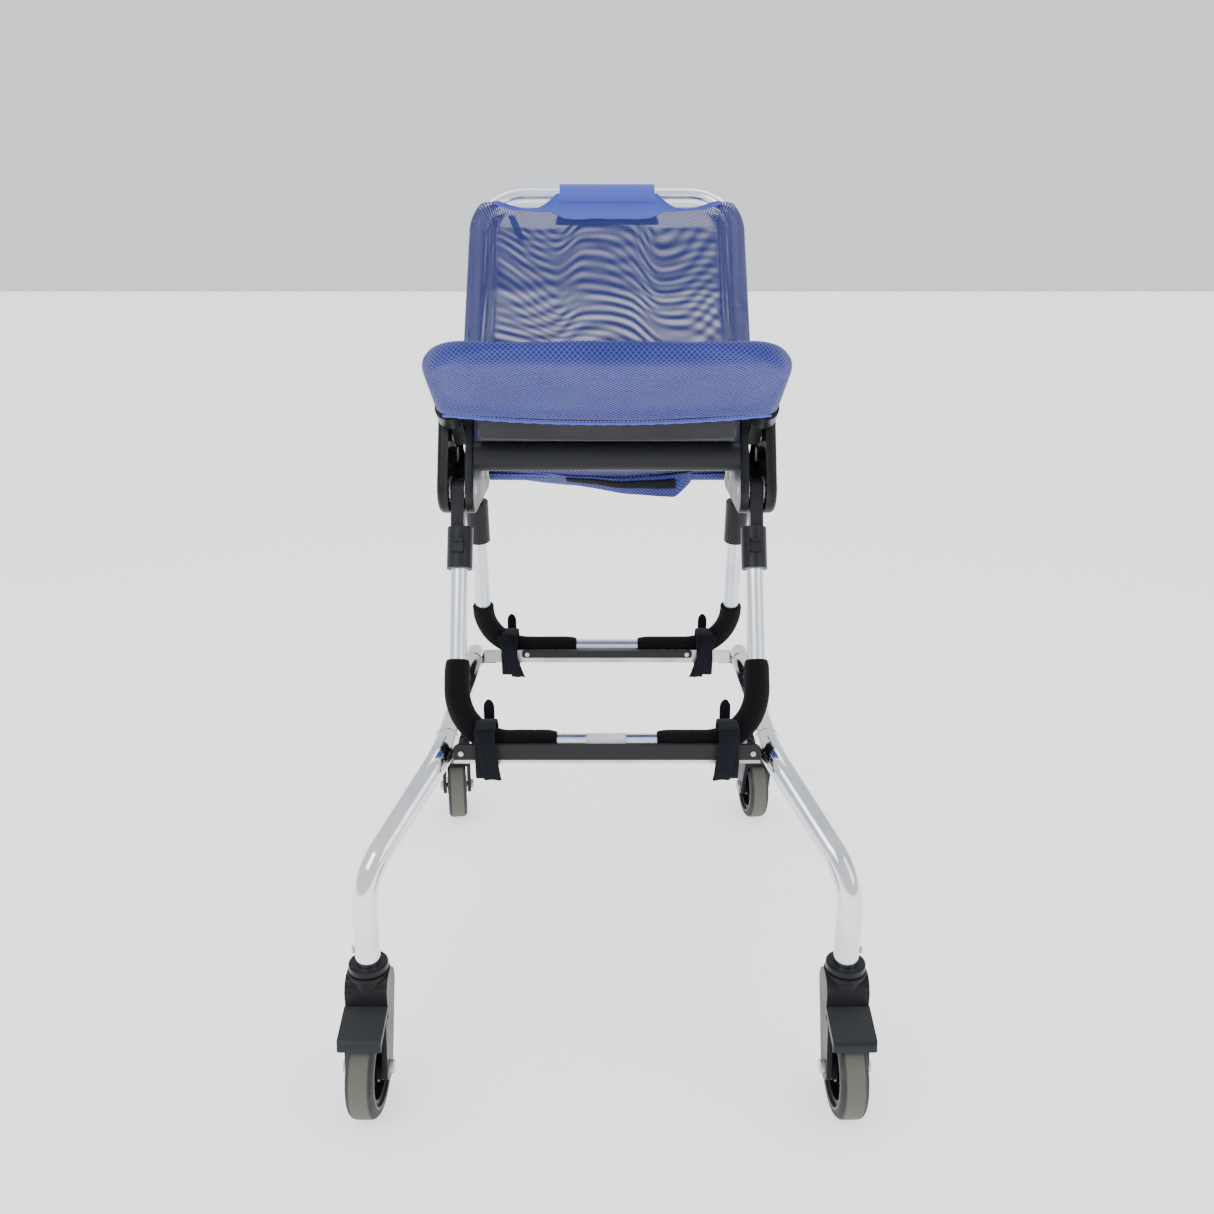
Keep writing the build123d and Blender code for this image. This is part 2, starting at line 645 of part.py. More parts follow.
# ---- export -------------------------------------------------------------------------------
def main():
    os.makedirs("parts", exist_ok=True)
    both_sides("side_tube", side_tube)
    write("front_rail", cross_rail(front_run, front_gutter_wall))
    write("rear_rail", cross_rail(rear_run, rear_gutter_wall))
    write("front_rail_strip", front_rail_strip())
    write("rear_rail_strip", rear_rail_strip())
    write("rail_brackets", [rail_bracket(s, c) for s in (-1, 1) for c in (front_run, rear_run)])
    screws = [strip_screw(s * (rail_half_length - 8), front_run, front_gutter_wall + 5) for s in (-1, 1)]
    screws += [strip_screw(s * (rear_strip_length / 2 - 7), rear_run,
                           rear_gutter_wall - rear_strip_height / 2) for s in (-1, 1)]
    rivets = [stem_rivet(s, x, y) for s in (-1, 1)
              for x, y in ((front_stem_x, front_stem_y), (rear_stem_x, rear_stem_y))]
    write("trolley_screws_and_rivets", screws + rivets)
    write("stem_plugs", [stem_plug(s, x, y) for s in (-1, 1)
                         for x, y in ((front_stem_x, front_stem_y), (rear_stem_x, rear_stem_y))])
    front_lean = math.tan(math.radians(front_leg_angle))
    rear_lean = -math.tan(math.radians(rear_leg_angle))
    both_sides("front_strap", lambda s: strap(s, front_run, front_lean))
    both_sides("rear_strap", lambda s: strap(s, rear_run, rear_lean))

    for name, caster in casters.items():
        for part, make in (("housing", housing), ("pedal", pedal), ("axle", axle),
                           ("rim", rim), ("tyre", tyre)):
            write(name + "_" + part, place(caster, make()))

    start = front_collar_start + 10
    write("front_leg_tube", hang(front_leg_pivot, -front_leg_angle, leg_tube(start, front_leg_length)))
    start = rear_collar_start + 10
    write("rear_leg_tube", hang(rear_leg_pivot, rear_leg_angle, leg_tube(start, rear_leg_length)))
    both_sides("front_foam", lambda s: hang(front_leg_pivot, -front_leg_angle, foam_sleeve(
        s, front_foam_start, front_leg_length, front_bare_gap)))
    both_sides("rear_foam", lambda s: hang(rear_leg_pivot, rear_leg_angle, foam_sleeve(
        s, rear_foam_start, rear_leg_length, rear_bare_gap)))
    both_sides("front_knuckle", lambda s: hang(front_leg_pivot, -front_leg_angle, front_knuckle(s)))
    both_sides("rear_knuckle", lambda s: hang(rear_leg_pivot, rear_leg_angle, rear_knuckle(s)))
    both_sides("front_catch", lambda s: hang(front_leg_pivot, -front_leg_angle, front_catch(s)))

    both_sides("hub_outer_cover", outer_cover)
    both_sides("hub_inner_cover", inner_cover)
    write("hub_pins_and_plates", pivot_pins(-1) + pivot_pins(1) + lock_plates(-1) + lock_plates(1))
    both_sides("release_button", release_button)
    write("cross_bar", cross_bar())

    write("seat_frame", tilt_seat(loop_tube(-1, seat_length, seat_corner_radius)))
    write("seat_arms", [tilt_seat(arm(
        s, -1, slot_centre_x - tongue_thickness / 2, slot_centre_x + tongue_thickness / 2,
        13.0)) for s in (-1, 1)])
    write("seat_cover", tilt_seat(seat_cover()))
    write("back_frame", tilt_back(loop_tube(1, back_length, back_corner_radius)))
    write("back_arms", [tilt_back(arm(
        s, 1, slot_centre_x + body_gap / 2, slot_outer_x - body_gap, 13.0)) for s in (-1, 1)])
    write("back_cover", tilt_back(back_cover()))
    write("sling", sling())


main()
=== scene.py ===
import json
import math

import bpy
import numpy as np
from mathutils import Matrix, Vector, noise


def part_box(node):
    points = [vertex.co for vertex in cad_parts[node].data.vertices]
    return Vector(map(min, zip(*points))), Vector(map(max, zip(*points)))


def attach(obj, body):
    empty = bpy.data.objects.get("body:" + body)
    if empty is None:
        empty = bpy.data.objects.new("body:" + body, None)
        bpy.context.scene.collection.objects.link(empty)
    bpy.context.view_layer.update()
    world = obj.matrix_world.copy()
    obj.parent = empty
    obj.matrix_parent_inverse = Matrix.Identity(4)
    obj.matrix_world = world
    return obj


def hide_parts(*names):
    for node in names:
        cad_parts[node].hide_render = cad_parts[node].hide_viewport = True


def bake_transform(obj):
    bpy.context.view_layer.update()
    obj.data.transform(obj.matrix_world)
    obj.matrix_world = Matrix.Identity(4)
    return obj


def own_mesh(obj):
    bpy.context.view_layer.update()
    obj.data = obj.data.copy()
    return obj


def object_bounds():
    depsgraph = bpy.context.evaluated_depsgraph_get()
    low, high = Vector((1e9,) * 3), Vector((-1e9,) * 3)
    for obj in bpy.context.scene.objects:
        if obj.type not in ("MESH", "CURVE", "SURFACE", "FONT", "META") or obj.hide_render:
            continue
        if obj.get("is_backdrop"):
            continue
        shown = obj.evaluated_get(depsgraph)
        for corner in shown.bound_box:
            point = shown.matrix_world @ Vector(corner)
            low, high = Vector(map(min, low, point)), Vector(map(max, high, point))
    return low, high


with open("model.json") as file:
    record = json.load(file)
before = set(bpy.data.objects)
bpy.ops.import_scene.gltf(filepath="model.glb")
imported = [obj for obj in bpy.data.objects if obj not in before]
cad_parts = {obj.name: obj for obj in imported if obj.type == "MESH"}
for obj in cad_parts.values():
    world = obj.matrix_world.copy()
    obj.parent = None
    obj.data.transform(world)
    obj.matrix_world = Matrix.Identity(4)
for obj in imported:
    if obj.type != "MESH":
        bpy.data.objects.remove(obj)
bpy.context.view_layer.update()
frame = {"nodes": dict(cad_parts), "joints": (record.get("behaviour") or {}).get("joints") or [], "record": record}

NODES = frame["nodes"]
MM = 0.001
# The drawing below measures Y from its own line; the frame's cross bar says how far that has moved.
SHIFT = sum(corner.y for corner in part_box("cross_bar")) / 2 / MM + 37.0

# ---- the frame's own dimensions, millimetres --------------------------------------------------
SEAT_PIVOT = (3.0, 648.0)
SEAT_ANGLE = math.radians(31.2)
BACK_PIVOT = (86.0, 588.0)
BACK_ANGLE = math.radians(53.0)
LOOP_X = 168.0
LEG_X = 160.0
LEG_BEND = 57.0
FRONT_LEG = ((-40.0, 592.0), math.radians(-26.57), 275.0, 187.0, 105.0)
REAR_LEG = ((86.0, 588.0), math.radians(11.9), 247.3, 183.5, 80.0)
FOAM_R = 14.0
TUBE_R = 9.5
BACK_TOP = 410.0
BACK_BEND = 60.0


def seat_point(x, u, v):
    """x across, u along the seat from its pivot, v up from its plane."""
    c, s = math.cos(SEAT_ANGLE), math.sin(SEAT_ANGLE)
    return (x, SEAT_PIVOT[0] - u * c + v * s, SEAT_PIVOT[1] + u * s + v * c)


def back_point(x, w, v):
    c, s = math.cos(BACK_ANGLE), math.sin(BACK_ANGLE)
    return (x, BACK_PIVOT[0] + w * c - v * s, BACK_PIVOT[1] + w * s + v * c)


def leg_point(leg, x, down, out):
    """down is the distance from the leg's pivot, out is backwards across its line."""
    (y, z), a = leg[0], leg[1]
    return (x, y + down * math.sin(a) + out * math.cos(a), z - down * math.cos(a) + out * math.sin(a))


def smooth(t):
    t = min(1.0, max(0.0, t))
    return t * t * (3 - 2 * t)


def wobble(x, y, z, size, seed=0.0):
    """Smooth noise from -1 to 1; size is the bump's length in millimetres."""
    return noise.noise(Vector((x / size + seed, y / size - seed, z / size + 2 * seed)))


# ---- mesh helpers -----------------------------------------------------------------------------
def new_object(name, points, faces, material, uvs=None):
    mesh = bpy.data.meshes.new(name)
    mesh.from_pydata([(p[0] * MM, (p[1] + SHIFT) * MM, p[2] * MM) for p in points], [], faces)
    if uvs:
        layer = mesh.uv_layers.new(name="weave")
        flat = [c * MM for face in uvs for uv in face for c in uv]
        layer.data.foreach_set("uv", flat)
    mesh.materials.append(material)
    mesh.polygons.foreach_set("use_smooth", [True] * len(mesh.polygons))
    mesh.update()
    obj = bpy.data.objects.new(name, mesh)
    bpy.context.scene.collection.objects.link(obj)
    return obj


def lengths(rows):
    """Distances along the middle row and the middle column, for weave coordinates."""
    mid = rows[len(rows) // 2]
    across = [0.0]
    for a, b in zip(mid, mid[1:]):
        across.append(across[-1] + math.dist(a, b))
    column = [r[len(r) // 2] for r in rows]
    along = [0.0]
    for a, b in zip(column, column[1:]):
        along.append(along[-1] + math.dist(a, b))
    return across, along


def grid(name, rows, material, ring=False, caps=False):
    """A quad surface through rows of points. ring closes each row; caps closes the two end rows."""
    n, m = len(rows), len(rows[0])
    points = [p for row in rows for p in row]
    across, along = lengths([list(r) + [r[0]] for r in rows] if ring else rows)
    faces, uvs = [], []
    for i in range(n - 1):
        for j in range(m if ring else m - 1):
            k = (j + 1) % m
            faces.append((i * m + j, i * m + k, (i + 1) * m + k, (i + 1) * m + j))
            uvs.append(((across[j], along[i]), (across[j + 1], along[i]),
                        (across[j + 1], along[i + 1]), (across[j], along[i + 1])))
    if caps:
        for base, end in ((0, 0), ((n - 1) * m, n - 1)):
            for j in range(m // 2 - 1):
                quad = (base + j, base + m - 1 - j, base + m - 2 - j, base + j + 1)
                faces.append(quad if end else quad[::-1])
                uvs.append(tuple((across[q - base], along[end]) for q in faces[-1]))
    return new_object(name, points, faces, material, uvs)


def settle(obj, *modifiers):
    """Adds modifiers given as (type, {setting: value}) and applies them all."""
    for kind, values in modifiers:
        mod = obj.modifiers.new(kind.title(), kind)
        for key, value in values.items():
            setattr(mod, key, value)
    bpy.context.view_layer.update()
    made = bpy.data.meshes.new_from_object(obj.evaluated_get(bpy.context.evaluated_depsgraph_get()))
    obj.modifiers.clear()
    obj.data = made
    made.polygons.foreach_set("use_smooth", [True] * len(made.polygons))
    return obj


def thick(obj, mm, levels=0):
    mods = [("SOLIDIFY", {"thickness": mm * MM, "offset": 0.0})]
    if levels:
        mods.append(("SUBSURF", {"levels": levels, "render_levels": levels}))
    return settle(obj, *mods)


def ring_tube(name, centres, radii, material, sides=24, ends=True):
    """A tube through centres with its own radius at each; when ends is set, the two ends are shut flat."""
    pts = [Vector(c) for c in centres]
    rows = []
    side = None
    for i, p in enumerate(pts):
        t = (pts[min(i + 2, len(pts) - 1)] - pts[max(i - 2, 0)]).normalized()
        if side is None:
            side = t.cross(Vector((0, 1, 0.01))).normalized()
        side = (side - t * side.dot(t)).normalized()
        up = t.cross(side)
        row = []
        for k in range(sides):
            a = 2 * math.pi * k / sides
            r = radii[i](a) if callable(radii[i]) else radii[i]
            row.append(tuple(p + (side * math.cos(a) + up * math.sin(a)) * r))
        rows.append(row)
    return grid(name, rows, material, ring=True, caps=ends)


def beads(name, places, material, length, radius):
    """Small stitches in one mesh. places holds (point, direction, normal)."""
    points, faces = [], []
    for p, d, n in places:
        p, d, n = Vector(p), Vector(d).normalized(), Vector(n).normalized()
        s = d.cross(n)
        base = len(points)
        for t, r in ((-0.5, 0.45), (-0.3, 1.0), (0.3, 1.0), (0.5, 0.45)):
            for k in range(6):
                a = math.pi * k / 3
                points.append(tuple(p + d * t * length + (s * math.cos(a) + n * math.sin(a)) * r * radius))
        for ring in range(3):
            for k in range(6):
                a, b = base + ring * 6 + k, base + ring * 6 + (k + 1) % 6
                faces.append((a, b, b + 6, a + 6))
        faces.append(tuple(base + k for k in reversed(range(6))))
        faces.append(tuple(base + 18 + k for k in range(6)))
    return new_object(name, points, faces, material)


def arc_points(centre, radius, a0, a1, n):
    return [(centre[0] + radius * math.cos(a0 + (a1 - a0) * i / n),
             centre[1] + radius * math.sin(a0 + (a1 - a0) * i / n)) for i in range(n + 1)]


def catmull(points, n):
    """A smooth curve through 2-D or 3-D points, n steps a span."""
    p = [Vector(q) for q in points]
    p = [2 * p[0] - p[1]] + p + [2 * p[-1] - p[-2]]
    out = []
    for i in range(1, len(p) - 2):
        for k in range(n):
            t = k / n
            out.append(tuple(0.5 * ((2 * p[i]) + (p[i + 1] - p[i - 1]) * t
                             + (2 * p[i - 1] - 5 * p[i] + 4 * p[i + 1] - p[i + 2]) * t * t
                             + (3 * p[i] - p[i - 1] - 3 * p[i + 1] + p[i + 2]) * t ** 3)))
    return out + [tuple(p[-2])]


# ---- materials --------------------------------------------------------------------------------
class Nodes:
    """A short way to write a material's nodes."""

    def __init__(self, name, **sockets):
        self.mat = bpy.data.materials.new(name)
        self.mat.use_nodes = True
        self.tree = self.mat.node_tree
        self.bsdf = self.tree.nodes["Principled BSDF"]
        for key, value in sockets.items():
            self.bsdf.inputs[key.replace("_", " ")].default_value = value

    def add(self, kind, **inputs):
        node = self.tree.nodes.new("ShaderNode" + kind)
        for key, value in inputs.items():
            if hasattr(node, key) and key not in ("location",):
                setattr(node, key, value)
        return node

    def link(self, value, socket):
        if isinstance(value, bpy.types.NodeSocket):
            self.tree.links.new(value, socket)
        else:
            socket.default_value = value

    def math(self, operation, a, b=0.0, c=None, clamp=False):
        node = self.add("Math", operation=operation, use_clamp=clamp)
        self.link(a, node.inputs[0])
        self.link(b, node.inputs[1])
        if c is not None:
            self.link(c, node.inputs[2])
        return node.outputs[0]

    def place(self):
        return self.add("TexCoord").outputs["Object"]

    def weave(self):
        return self.add("UVMap", uv_map="weave").outputs[0]

    def scaled(self, vector, scale):
        node = self.add("Mapping")
        self.link(vector, node.inputs["Vector"])
        node.inputs["Scale"].default_value = scale
        return node.outputs[0]

    def noise(self, vector, scale, detail=2.0, rough=0.5):
        node = self.add("TexNoise")
        self.link(vector, node.inputs["Vector"])
        node.inputs["Scale"].default_value = scale
        node.inputs["Detail"].default_value = detail
        node.inputs["Roughness"].default_value = rough
        return node.outputs["Fac"]

    def cells(self, vector, scale, feature="F1"):
        node = self.add("TexVoronoi", feature=feature)
        self.link(vector, node.inputs["Vector"])
        node.inputs["Scale"].default_value = scale
        return node.outputs["Distance"]

    def ramp(self, value, low, high, out_low=0.0, out_high=1.0):
        node = self.add("MapRange", interpolation_type="SMOOTHSTEP")
        self.link(value, node.inputs["Value"])
        for key, v in (("From Min", low), ("From Max", high), ("To Min", out_low), ("To Max", out_high)):
            node.inputs[key].default_value = v
        return node.outputs["Result"]

    def mix(self, factor, a, b, blend="MIX"):
        node = self.add("Mix", data_type="RGBA", blend_type=blend)
        self.link(factor, node.inputs["Factor"])
        for socket, value in ((node.inputs[6], a), (node.inputs[7], b)):
            if isinstance(value, tuple):
                socket.default_value = (*value, 1.0)
            else:
                self.link(value, socket)
        return node.outputs[2]

    def bump(self, height, distance, strength=1.0, normal=None):
        node = self.add("Bump")
        node.inputs["Strength"].default_value = strength
        node.inputs["Distance"].default_value = distance
        self.link(height, node.inputs["Height"])
        if normal is not None:
            self.link(normal, node.inputs["Normal"])
        return node.outputs["Normal"]

    def finish(self, color=None, rough=None, normal=None, alpha=None, metal=None):
        for key, value in (("Base Color", color), ("Roughness", rough), ("Normal", normal),
                           ("Alpha", alpha), ("Metallic", metal)):
            if isinstance(value, tuple):
                self.bsdf.inputs[key].default_value = (*value, 1.0)
            elif value is not None:
                self.link(value, self.bsdf.inputs[key])
        return self.mat


def polished(name, color, dark, rough, metal=1.0):
    """Bright tube: a clean finish with faint wear, drawing lines and a few dull patches."""
    n = Nodes(name, Metallic=metal)
    p = n.place()
    cloud = n.noise(p, 14, 4)
    fine = n.noise(n.scaled(p, (900, 160, 160)), 1, 2)
    shade = n.mix(n.ramp(cloud, 0.35, 0.75), color, dark)
    r = n.math("ADD", n.ramp(cloud, 0.3, 0.8, rough, rough * 1.7), n.math("MULTIPLY", fine, rough * 0.5))
    speck = n.ramp(n.noise(p, 260, 2), 0.66, 0.74)
    return n.finish(n.mix(n.math("MULTIPLY", speck, 0.35), shade, dark), r,
                    n.bump(n.math("ADD", fine, n.noise(p, 60, 2)), 0.00004, 0.6))


def plastic(name, color, light, rough, grain=0.00006, scale=900, gloss=0.2):
    """Moulded plastic: fine grain, faint flow marks and paler worn edges."""
    n = Nodes(name, Specular_IOR_Level=gloss)
    p = n.place()
    edge = n.ramp(n.add("NewGeometry").outputs["Pointiness"], 0.515, 0.60)
    cloud = n.noise(p, 22, 4)
    dust = n.ramp(n.noise(p, 150, 3, 0.7), 0.58, 0.80)
    tint = n.mix(n.ramp(cloud, 0.3, 0.8), color, tuple(c * 1.5 for c in color))
    tint = n.mix(n.math("MULTIPLY", edge, 0.3), tint, light)
    tint = n.mix(n.math("MULTIPLY", dust, 0.10), tint, light)
    r = n.ramp(cloud, 0.25, 0.8, rough * 0.85, rough * 1.2)
    height = n.math("ADD", n.cells(p, scale), n.math("MULTIPLY", n.noise(p, 35, 2), 1.2))
    return n.finish(tint, r, n.bump(height, grain, 0.8))


def fuzzy(name, color, light, scale=700, depth=0.0006, sheen=0.5):
    """Foam or the loop side of webbing: a matt nap with lint caught in it."""
    n = Nodes(name, Sheen_Weight=sheen, Sheen_Roughness=0.6, Specular_IOR_Level=0.06)
    p = n.place()
    nap = n.noise(p, scale, 6, 0.8)
    cloud = n.noise(p, 40, 4, 0.6)
    lint = n.ramp(n.cells(n.scaled(p, (1, 1, 1.7)), 210), 0.10, 0.03)
    tint = n.mix(n.ramp(cloud, 0.3, 0.75), color, tuple(c * 1.9 for c in color))
    tint = n.mix(n.math("MULTIPLY", n.ramp(nap, 0.5, 0.8), 0.4), tint, light)
    tint = n.mix(n.math("MULTIPLY", lint, 0.22), tint, light)
    height = n.math("ADD", nap, n.math("MULTIPLY", n.noise(p, 120, 3), 0.8))
    return n.finish(tint, n.ramp(cloud, 0.3, 0.8, 0.85, 1.0), n.bump(height, depth, 0.9))


def lattice(n, pitch, row, warp=0.0, turn=0.0):
    """Distance from the nearest point of a staggered lattice, in pitches; warp and turn upset it."""
    turned = n.add("Mapping")
    n.link(n.weave(), turned.inputs["Vector"])
    turned.inputs["Rotation"].default_value = (0, 0, math.radians(turn))
    uv = turned.outputs[0]
    if warp:
        drift = n.add("TexNoise")
        n.link(uv, drift.inputs["Vector"])
        drift.inputs["Scale"].default_value = 9
        drift.inputs["Detail"].default_value = 0
        pull = n.add("VectorMath", operation="MULTIPLY_ADD")
        n.link(drift.outputs["Color"], pull.inputs[0])
        pull.inputs[1].default_value = (warp, warp, 0)
        n.link(uv, pull.inputs[2])
        uv = pull.outputs[0]
    split = n.add("SeparateXYZ")
    n.link(uv, split.inputs[0])
    best = None
    for shift in (0.0, 0.5):
        a = n.math("FRACT", n.math("ADD", n.math("DIVIDE", split.outputs[0], pitch), shift + 100))
        b = n.math("FRACT", n.math("ADD", n.math("DIVIDE", split.outputs[1], row), shift + 100))
        a = n.math("SUBTRACT", a, 0.5)
        b = n.math("MULTIPLY", n.math("SUBTRACT", b, 0.5), row / pitch)
        d = n.math("SQRT", n.math("ADD", n.math("MULTIPLY", a, a), n.math("MULTIPLY", b, b)))
        best = d if best is None else n.math("MINIMUM", best, d)
    return best


BLUE = (0.040, 0.055, 0.345)
# Painted shade: the dark blue that the mesh's holes and their rims are coloured with.
BLUE_HOLE_SHADE = (0.010, 0.014, 0.11)
BLUE_LIGHT = (0.085, 0.115, 0.52)


def mesh_cloth(name, pitch, row, hole, see_through, warp=0.0, turn=0.0):
    """Knitted spacer mesh: a staggered lattice of holes between rounded yarns; the holes and a ring round each are
    coloured dark blue as painted shade.
    """
    n = Nodes(name, Sheen_Weight=0.25, Sheen_Roughness=0.4, Specular_IOR_Level=0.3)
    color, dark, light = BLUE, BLUE_HOLE_SHADE, BLUE_LIGHT
    d = lattice(n, pitch, row, warp, turn)
    uv = n.weave()
    yarn = n.noise(n.scaled(uv, (1, 0.35, 1)), 2400, 2)
    cloud = n.noise(n.place(), 18, 3)
    # Painted shade: each hole and a ring round it are darkened towards the dark blue.
    rim = n.ramp(d, hole, hole * 1.9)
    tint = n.mix(n.ramp(cloud, 0.3, 0.75), color, tuple(c * 0.82 for c in color))
    tint = n.mix(n.math("MULTIPLY", n.ramp(yarn, 0.45, 0.75), 0.35), tint, light)
    tint = n.mix(rim, dark, tint)
    height = n.math("ADD", n.ramp(d, hole * 0.5, hole * 2.2), n.math("MULTIPLY", yarn, 0.25))
    alpha = n.ramp(d, hole * 0.86, hole * 1.06) if see_through else None
    return n.finish(tint, n.ramp(cloud, 0.3, 0.7, 0.62, 0.78),
                    n.bump(height, pitch * 0.22, 0.9), alpha)


def knit(name, color, light, pitch=0.0013):
    """Smooth close-knit cloth, in fine ribs."""
    n = Nodes(name, Sheen_Weight=0.3, Sheen_Roughness=0.4, Specular_IOR_Level=0.25)
    d = lattice(n, pitch, pitch * 0.8)
    cloud = n.noise(n.place(), 25, 3)
    tint = n.mix(n.ramp(cloud, 0.3, 0.75), color, tuple(c * 0.75 for c in color))
    tint = n.mix(n.math("MULTIPLY", n.ramp(d, 0.15, 0.45), 0.35), light, tint)
    return n.finish(tint, n.ramp(cloud, 0.3, 0.7, 0.62, 0.8), n.bump(d, 0.00035, 0.7))


def rubber_wheel(name, centre, axis):
    """Grey tyre: paler worn tread, dark sides and a thin mould line at the rim."""
    n = Nodes(name, Specular_IOR_Level=0.35)
    p = n.place()
    minus = n.add("VectorMath", operation="SUBTRACT")
    n.link(p, minus.inputs[0])
    minus.inputs[1].default_value = centre
    dot = n.add("VectorMath", operation="DOT_PRODUCT")
    n.link(minus.outputs[0], dot.inputs[0])
    dot.inputs[1].default_value = axis
    size = n.add("VectorMath", operation="LENGTH")
    n.link(minus.outputs[0], size.inputs[0])
    side = n.math("ABSOLUTE", dot.outputs["Value"])
    radial = n.math("SQRT", n.math("SUBTRACT", n.math("POWER", size.outputs["Value"], 2.0),
                                   n.math("POWER", side, 2.0)))
    tread = n.ramp(side, 0.0108, 0.0080)
    cloud = n.noise(p, 70, 5, 0.7)
    tint = n.mix(tread, (0.022, 0.023, 0.021), (0.105, 0.104, 0.083))
    tint = n.mix(n.math("MULTIPLY", n.ramp(cloud, 0.45, 0.8), 0.4), tint, (0.15, 0.14, 0.115))
    line = n.math("MULTIPLY", n.ramp(radial, 0.0388, 0.0393), n.ramp(radial, 0.0408, 0.0401))
    tint = n.mix(n.math("MULTIPLY", line, 0.55), tint, (0.32, 0.32, 0.29))
    seam = n.ramp(side, 0.0004, 0.0010, 1.0, 0.0)
    height = n.math("ADD", n.math("MULTIPLY", seam, 0.5), n.math("ADD", n.noise(p, 900, 3),
                    n.math("MULTIPLY", line, 1.2)))
    return n.finish(tint, n.ramp(cloud, 0.3, 0.8, 0.6, 0.85), n.bump(height, 0.00025, 0.7))


M_CHROME = polished("chrome", (0.80, 0.81, 0.82), (0.60, 0.62, 0.66), 0.07)
M_ALU = polished("anodised", (0.78, 0.81, 0.84), (0.62, 0.66, 0.72), 0.20)
M_RAIL = polished("rail_metal", (0.66, 0.65, 0.60), (0.44, 0.43, 0.39), 0.30)
M_ZINC = polished("zinc", (0.60, 0.60, 0.58), (0.40, 0.40, 0.38), 0.28)
M_BRACKET = polished("bracket", (0.20, 0.20, 0.20), (0.10, 0.10, 0.10), 0.38)
M_PLASTIC = plastic("satin_black", (0.0035, 0.0038, 0.0048), (0.04, 0.042, 0.046), 0.36)
M_CASTER = plastic("caster_black", (0.0042, 0.0048, 0.0058), (0.05, 0.054, 0.058), 0.38)
M_BAR = plastic("bar_coat", (0.0035, 0.0038, 0.0045), (0.03, 0.032, 0.036), 0.42, 0.00003, 1500)
M_RUBBER = plastic("rubber_strip", (0.0045, 0.0045, 0.005), (0.04, 0.04, 0.04), 0.55, 0.00008, 600)
M_FOAM = fuzzy("foam", (0.0022, 0.0022, 0.0025), (0.03, 0.03, 0.032), 900, 0.0005, 0.05)
M_WEB = fuzzy("hook_and_loop", (0.0022, 0.0026, 0.0055), (0.03, 0.032, 0.05), 1100, 0.0007, 0.08)
# Painted shade: black cloth for the sheet under the seat's front, which stands in for the shadow there.
M_UNDER_SHADE = knit("black_shade_sheet", (0.005, 0.0055, 0.008), (0.03, 0.03, 0.035))
M_NOSE = mesh_cloth("nose_mesh", 0.0055, 0.0052, 0.17, False)
M_BACK = mesh_cloth("back_mesh", 0.0039, 0.0042, 0.25, True, 0.003)
M_BACK_REAR = mesh_cloth("back_mesh_rear", 0.0041, 0.00345, 0.27, True, 0.016, 2.5)
M_SLING = mesh_cloth("sling_mesh", 0.0046, 0.0048, 0.20, False)
M_KNIT = knit("blue_knit", (0.034, 0.047, 0.31), BLUE_LIGHT)
M_THREAD = knit("thread", (0.11, 0.13, 0.42), (0.2, 0.24, 0.6))
M_LABEL = plastic("blank_label", (0.62, 0.63, 0.64), (0.75, 0.75, 0.75), 0.5)

BY_SLOT = {"chrome_tube": M_CHROME, "aluminium_tube": M_ALU, "rail_metal": M_RAIL,
           "zinc_steel": M_ZINC, "bracket_metal": M_BRACKET, "black_plastic": M_PLASTIC,
           "caster_plastic": M_CASTER, "rubber_strip": M_RUBBER, "tyre": M_RUBBER,
           "webbing": M_WEB, "foam": M_FOAM, "mesh_fabric": M_NOSE}

for part in frame["record"]["subparts"]:
    obj = NODES[part["node"]]
    material = BY_SLOT[part["material_slot"]]
    if part["node"] in ("cross_bar",):
        material = M_BAR
    if part["node"].endswith("_tyre"):
        low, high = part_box(part["node"])
        joint = next(j for j in frame["joints"] if j["child"] == "wheel_" + part["node"][:-5])
        material = rubber_wheel(part["node"] + "_rubber", (low + high) / 2, joint["axis"])
    obj.data.materials.clear()
    obj.data.materials.append(material)


# ---- foam sleeves -----------------------------------------------------------------------------
def sleeve(name, leg, side, node, body, seed):
    """A foam sleeve on a leg's lower bend, a little lumpy, drawn in at its two ends."""
    _, _, length, start, bare = leg
    line = [(side * LEG_X, start + (length - LEG_BEND - start) * i / 8) for i in range(9)]
    bend = arc_points((LEG_X - LEG_BEND, length - LEG_BEND), LEG_BEND, 0, math.pi / 2, 16)
    line += [(side * x, d) for x, d in bend[1:]]
    end_x = bare / 2
    line += [(side * (LEG_X - LEG_BEND + (end_x - LEG_X + LEG_BEND) * i / 9), length) for i in range(1, 10)]
    centres, radii = [], []
    total = len(line) - 1
    for i, (x, d) in enumerate(line):
        centres.append(leg_point(leg, x, d, 0.0))
        edge = min(i, total - i)
        r = FOAM_R - 0.25 - (1.6 if edge == 0 else 0.5 if edge == 1 else 0.0)
        radii.append(lambda a, r=r, i=i: r - 0.1 + 0.35 * wobble(
            i * 9, 30 * math.cos(a), 30 * math.sin(a), 22, seed))
    for index, at in ((0, 0), (total, -1)):
        centres.insert(0 if index == 0 else len(centres), centres[at])
        radii.insert(0 if index == 0 else len(radii), TUBE_R + 0.35)
    piece = ring_tube(name, centres, radii, M_FOAM, 28, ends=False)
    settle(piece, ("SUBSURF", {"levels": 1, "render_levels": 1}))
    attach(piece, body)
    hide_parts(node)


for side, word in ((-1, "left"), (1, "right")):
    sleeve("foam_front_" + word, FRONT_LEG, side, "front_foam_" + word, "front_leg", 3.0 + side)
    sleeve("foam_rear_" + word, REAR_LEG, side, "rear_foam_" + word, "rear_leg", 8.0 + side)


